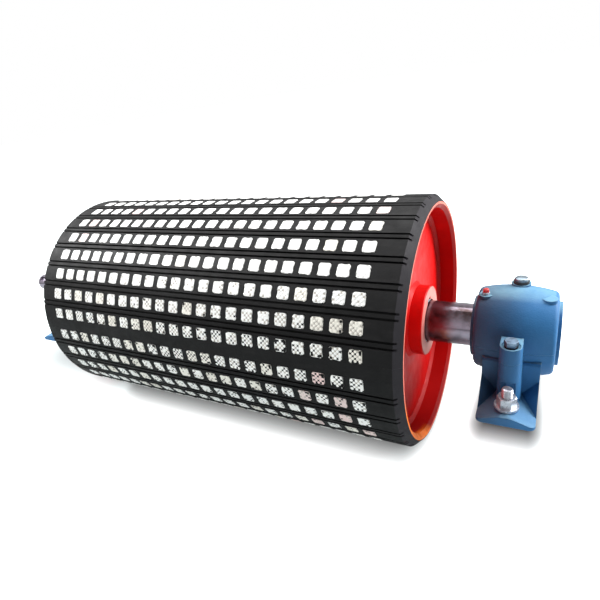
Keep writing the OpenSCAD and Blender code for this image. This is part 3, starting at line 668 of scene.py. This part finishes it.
def tile_materials(parts, x, turn, rng):
    """Material number of each face of one tile, by where the tile sits on the drum.

    The pits stay white near the top, take dark rubber or grey at the front and back, most of
    all towards the closed end, and clear again further down. The white near the top is painted
    light; the dark and grey pits and the cream tiles at the front are painted shade, with some
    dirt.
    """
    # Painted light and shade: how dark the pits get and how many tiles turn cream follow each
    # tile's turn from the top of the drum at rest.
    shade_and_dirt = share(abs(turn), LIT_TOP_TURN, SHADING_TURN)
    cleared = share(abs(turn), CLEARING_TURN, CLEARING_SPAN)
    cream = 0.03 + 0.5 * shade_and_dirt * (1 - 0.6 * shade_and_dirt)
    pink = 0.01 + 0.26 * (shade_and_dirt > 0.9 and x > 80 * MM)
    pick = rng.random()
    own = PINK_NUMBER if pick < pink else CREAM_NUMBER if pick < pink + cream else WHITE_NUMBER
    sideways = 0.5 + min(0.5, max(0.0, x + 150 * MM))
    dark = max(0.0, min(0.9, 1.8 * (shade_and_dirt - 0.5) * sideways + rng.uniform(-0.2, 0.15)))
    dark *= 1 - 0.7 * cleared
    grey = min(0.8, 1.3 * shade_and_dirt) * (1 - 0.6 * cleared)
    chosen = {}
    for part in sorted(set(parts)):
        kind, number = part
        chosen[part] = own
        if kind == "pit":
            if rng.random() < dark:
                chosen[part] = RUBBER_NUMBER
            elif rng.random() < grey:
                chosen[part] = PIT_DIRT_AND_SHADE_NUMBER
        elif kind == "rim":
            if rng.random() < 0.24 + 0.16 * shade_and_dirt:
                chosen[part] = RUBBER_NUMBER
        elif kind == "stud" and number in CORNER_STUDS:
            if rng.random() < 0.2 * shade_and_dirt - 0.04:
                chosen[part] = RUBBER_NUMBER
    return [chosen[part] for part in parts]


def studded_tiles(node, seed):
    """Replaces one node of plain tiles by studded ones in the same places."""
    rng = random.Random(seed)
    places = TILE_PLACES[node]
    half = (places[0][:, 0].max() - places[0][:, 0].min()) / 2
    (points, faces), parts = tile_prototype(half)
    local = np.array(points)
    all_points, all_faces, all_kinds = [], [], []
    for number, place in enumerate(places):
        x = (place[:, 0].min() + place[:, 0].max()) / 2
        turn = turn_of(place.mean(0))
        out = Vector((0, -math.sin(turn), math.cos(turn)))
        along = Vector((1, 0, 0))
        across = out.cross(along)
        lift = rng.uniform(-0.12, 0.05) * MM
        tilt = Matrix.Rotation(rng.gauss(0, math.radians(0.25)), 3, "X")
        turned = local @ np.array(tilt).T
        centre = Vector((x, 0, AXIS_Z)) + out * (RUBBER_R + lift)
        all_points.append(np.outer(turned[:, 0], along) + np.outer(turned[:, 1], across)
                          + np.outer(turned[:, 2], out) + np.array(centre))
        shift = number * len(local)
        all_faces.extend([i + shift for i in face] for face in faces)
        all_kinds.extend(tile_materials(parts, x, turn, rng))
    piece = new_piece(f"studded_{node}", np.vstack(all_points), all_faces,
                      TILE_MATERIALS, "rotor", all_kinds, smooth=40)
    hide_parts(node)


# ------------------------------------------------------------------ threads, rim and welds

THREAD_PITCH = 2 * MM
THREAD_DEPTH = 1.1 * MM
WELD_R = 1.9 * MM
WELD_RIPPLE = 3.2 * MM
WELD_OFF = 1 * MM          # from the corner that a weld lies in to its middle, both ways


def turned_grid(rows, count):
    """A skin through closed rows of points, capped at both ends."""
    points = [p for row in rows for p in row]
    faces = []
    for r in range(len(rows) - 1):
        for i in range(count):
            j = (i + 1) % count
            a, b = r * count, (r + 1) * count
            faces.append([a + i, a + j, b + j, b + i])
    faces.append(list(reversed(range(count))))
    faces.append([(len(rows) - 1) * count + i for i in range(count)])
    return points, faces


def thread_rows(centre_x, centre_y, z0, z1, radius, count):
    """Rows of points up a screwed rod whose crest winds round it as a helix."""
    steps = round((z1 - z0) / (THREAD_PITCH / 8))
    tip = radius * 0.16
    rows = []
    for k in range(steps + 1):
        z = z0 + (z1 - z0) * k / steps
        limit = radius - max(0.0, tip - min(z - z0, z1 - z))
        row = []
        for i in range(count):
            turn = 2 * math.pi * i / count
            phase = (z / THREAD_PITCH - i / count) % 1.0
            ridge = min(1.0, max(0.0, (0.5 - abs(phase - 0.5)) * 2.6 - 0.15))
            r = min(limit, radius - THREAD_DEPTH * (1 - ridge))
            row.append((centre_x + r * math.cos(turn), centre_y + r * math.sin(turn), z))
        rows.append(row)
    return rows


def threaded_studs():
    """The four foundation studs with their real threads, in place of the plain ones."""
    count = 40
    points, faces = [], []
    for part in islands(NODES["foot_studs"].data):
        low, high = part.min(0), part.max(0)
        x, y = (low[0] + high[0]) / 2, (low[1] + high[1]) / 2
        radius = (high[0] - low[0]) / 2
        rows = thread_rows(x, y, low[2], high[2], radius, count)
        stud_points, stud_faces = turned_grid(rows, count)
        shift = len(points)
        points += stud_points
        faces += [[i + shift for i in face] for face in stud_faces]
    piece = new_piece("threaded_foot_studs", points, faces, [ZINC], "mounting", smooth=50)
    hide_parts("foot_studs")


def chamfered_shell():
    """The drum's shell with the inner edge of both rims bevelled down to a narrow face."""
    count = 256
    outer = radius_of(node_points("drum_shell")).max()
    profile = [(-DRUM_HALF, outer), (DRUM_HALF, outer), (DRUM_HALF, outer - RIM_FACE),
               (DRUM_HALF - RIM_BEVEL, SHELL_IN_R), (RIM_BEVEL - DRUM_HALF, SHELL_IN_R),
               (-DRUM_HALF, outer - RIM_FACE)]
    points = [(x, y, AXIS_Z + z) for x, r in profile for y, z in circle(r, count)]
    faces = []
    for ring in range(len(profile)):
        a, b = ring * count, (ring + 1) % len(profile) * count
        faces += [(a + i, b + i, b + (i + 1) % count, a + (i + 1) % count) for i in range(count)]
    piece = new_piece("chamfered_drum_shell", points, faces, [RIM_PAINT], "rotor",
                      smooth=25)
    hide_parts("drum_shell")


def weld_bead(name, ring_r, x, outward):
    """A rippled weld ring round the axis, lying in the corner at ring_r and x."""
    count = round(2 * math.pi * ring_r / WELD_RIPPLE) * 4
    section = 10
    rng = random.Random(len(name))
    points, faces = [], []
    for i in range(count):
        turn = 2 * math.pi * i / count
        swell = 1 + 0.07 * math.cos(2 * math.pi * i / 4) + 0.02 * rng.uniform(-1, 1)
        for k in range(section):
            around = 2 * math.pi * k / section
            r = ring_r + WELD_R * swell * math.cos(around)
            points.append((x + outward * WELD_R * swell * math.sin(around),
                           r * math.cos(turn), AXIS_Z + r * math.sin(turn)))
    for i in range(count):
        j = (i + 1) % count
        for k in range(section):
            m = (k + 1) % section
            face = [i * section + k, i * section + m, j * section + m, j * section + k]
            faces.append(face if outward > 0 else face[::-1])
    new_piece(name, points, faces, [DRUM_PAINT], "rotor", smooth=60)


def weld_beads():
    """The welds of each end disc along the shell and the hub."""
    for side, word in ((1, "right"), (-1, "left")):
        x = side * (DISC_FACE + WELD_OFF)
        weld_bead(f"{word}_rim_weld", SHELL_IN_R - WELD_OFF, x, side)
        weld_bead(f"{word}_hub_weld", HUB_R + WELD_OFF, x, side)


# ------------------------------------------------------------------ camera, light and floor

def make_camera():
    """The viewpoint: front right, above the shaft, rolled a little clockwise."""
    azimuth, elevation, roll = (math.radians(a) for a in (30.82, 26.46, -9.58))
    back = Vector((math.sin(azimuth) * math.cos(elevation),
                   -math.cos(azimuth) * math.cos(elevation), math.sin(elevation)))
    data = bpy.data.cameras.new("camera")
    data.lens = 28.18
    data.sensor_width = 36.0
    data.clip_end = 100.0
    camera = bpy.data.objects.new("camera", data)
    camera.location = (0.5352, -0.7029, 0.5036)
    camera.rotation_mode = "QUATERNION"
    camera.rotation_quaternion = ((-back).to_track_quat("-Z", "Y")
                                  @ Quaternion((0, 0, 1), roll))
    bpy.context.scene.collection.objects.link(camera)
    bpy.context.scene.camera = camera


def soft_box(name, place, target, size, power):
    """A rectangular studio lamp that looks at a point."""
    data = bpy.data.lights.new(name, "AREA")
    data.shape = "RECTANGLE"
    data.size, data.size_y = size
    data.energy = power
    lamp = bpy.data.objects.new(name, data)
    lamp.location = place
    aim = Vector(target) - Vector(place)
    lamp.rotation_mode = "QUATERNION"
    lamp.rotation_quaternion = aim.to_track_quat("-Z", "Y")
    bpy.context.scene.collection.objects.link(lamp)


def make_lights():
    """Four lamps: name, place, what it looks at, size and watts."""
    soft_box("overhead", (0.1, 0.75, 1.75), (0.05, 0.0, 0.1), (2.6, 0.8), 42)
    soft_box("right_back", (1.9, 0.9, 1.0), (0.3, 0.0, 0.0), (1.2, 1.2), 85)
    soft_box("left_top", (-1.7, -0.6, 1.7), (-0.1, 0.0, 0.1), (1.2, 1.2), 95)
    soft_box("front_fill", (1.2, -1.3, -0.05), (0.45, 0.0, 0.0), (0.6, 0.6), 6)


def make_world():
    """A white room to the camera and in reflections, and a dim one as light."""
    world = bpy.data.worlds.new("studio")
    world.use_nodes = True
    tree = world.node_tree
    seen = tree.nodes.new("ShaderNodeLightPath")
    strength = tree.nodes.new("ShaderNodeMapRange")
    strength.inputs["To Min"].default_value = 0.05
    strength.inputs["To Max"].default_value = 1.0
    direct = tree.nodes.new("ShaderNodeMath")
    direct.operation = "MAXIMUM"
    tree.links.new(seen.outputs["Is Camera Ray"], direct.inputs[0])
    tree.links.new(seen.outputs["Is Glossy Ray"], direct.inputs[1])
    tree.links.new(direct.outputs["Value"], strength.inputs["Value"])
    background = tree.nodes["Background"]
    background.inputs["Color"].default_value = (1, 1, 1, 1)
    tree.links.new(strength.outputs["Result"], background.inputs["Strength"])
    bpy.context.scene.world = world


# Where a painted shadow darkens the floor under the drum and under the block beside it: both ends
# of the place along X and Y, and how much a gap beyond each end counts.
DRUM_FOOTPRINT = ((-0.62, 0.33, 0.66, 2.7), (-0.005, 0.12, 1.0, 0.6))
BLOCK_FOOTPRINT = ((0.458, 0.528, 1.95, 2.0), (0.014, 0.26, 1.0, 1.0))
DRUM_FADE = 0.138
BLOCK_FADE = 0.070


def footprint_gap(n, x, y, footprint):
    """How far a point of the floor lies outside a footprint."""
    gaps = []
    for place, (low, high, low_weight, high_weight) in zip((x, y), footprint):
        before = n.math("MAXIMUM", n.math("SUBTRACT", low, place), 0.0)
        beyond = n.math("MAXIMUM", n.math("SUBTRACT", place, high), 0.0)
        gap = n.math("ADD", n.product(before, low_weight), n.product(beyond, high_weight))
        gaps.append(n.math("POWER", gap, 2.0))
    return n.math("SQRT", n.math("ADD", *gaps))


def floor_material():
    """Pale floor that keeps the real shadow near the object, adds a painted shadow there in its
    colour and its glow, and runs out to plain white.
    """
    n = Nodes("pale_floor")
    seen = n.add("ShaderNodeLightPath").outputs
    direct = n.math("MAXIMUM", seen["Is Camera Ray"], seen["Is Transmission Ray"])
    x, y, _ = n.split(n.place)
    drum = n.ramp(footprint_gap(n, x, y, DRUM_FOOTPRINT), 0.0, DRUM_FADE)
    block = n.ramp(footprint_gap(n, x, y, BLOCK_FOOTPRINT), 0.0, BLOCK_FADE)
    near = n.math("MINIMUM", drum, block)
    glow = n.math("POWER", near, 3.3)
    open_floor = n.math("MAXIMUM", n.ramp(x, -0.34, -0.42), n.ramp(y, 0.05, 0.12))
    # Painted shadow: the floor's colour is nearly black near the object and paler grey where it
    # lies open; its far colour leans to cyan against the red light thrown from the drum.
    under = n.mix(open_floor, (0.03, 0.03, 0.031), (0.26, 0.27, 0.27))
    n.set(Base_Color=n.mix(near, under, (0.60, 0.66, 0.66)), Roughness=1.0,
          Specular_IOR_Level=0.0, Emission_Color=(1, 1, 1, 1),
          Emission_Strength=n.product(glow, direct))
    return n.material


def make_floor():
    """A wide round floor, in rings."""
    size, rings, count = 12.0, 6, 64
    points = [(0.0, 0.0, FLOOR_Z)]
    for ring in range(1, rings + 1):
        points += [(x, y, FLOOR_Z) for x, y in circle(size * ring / rings, count)]
    faces = [(0, 1 + i, 1 + (i + 1) % count) for i in range(count)]
    for ring in range(rings - 1):
        a, b = 1 + ring * count, 1 + (ring + 1) * count
        faces += [(a + i, b + i, b + (i + 1) % count, a + (i + 1) % count) for i in range(count)]
    mesh = bpy.data.meshes.new("floor")
    mesh.from_pydata(points, [], faces)
    mesh.materials.append(floor_material())
    floor = bpy.data.objects.new("floor", mesh)
    bpy.context.scene.collection.objects.link(floor)


bpy.context.scene.view_settings.view_transform = "Standard"
make_camera()
make_lights()
make_world()
make_floor()
dress_nodes()
for seed, tile_node in enumerate(TILES):
    studded_tiles(tile_node, seed)
chamfered_shell()
threaded_studs()
weld_beads()
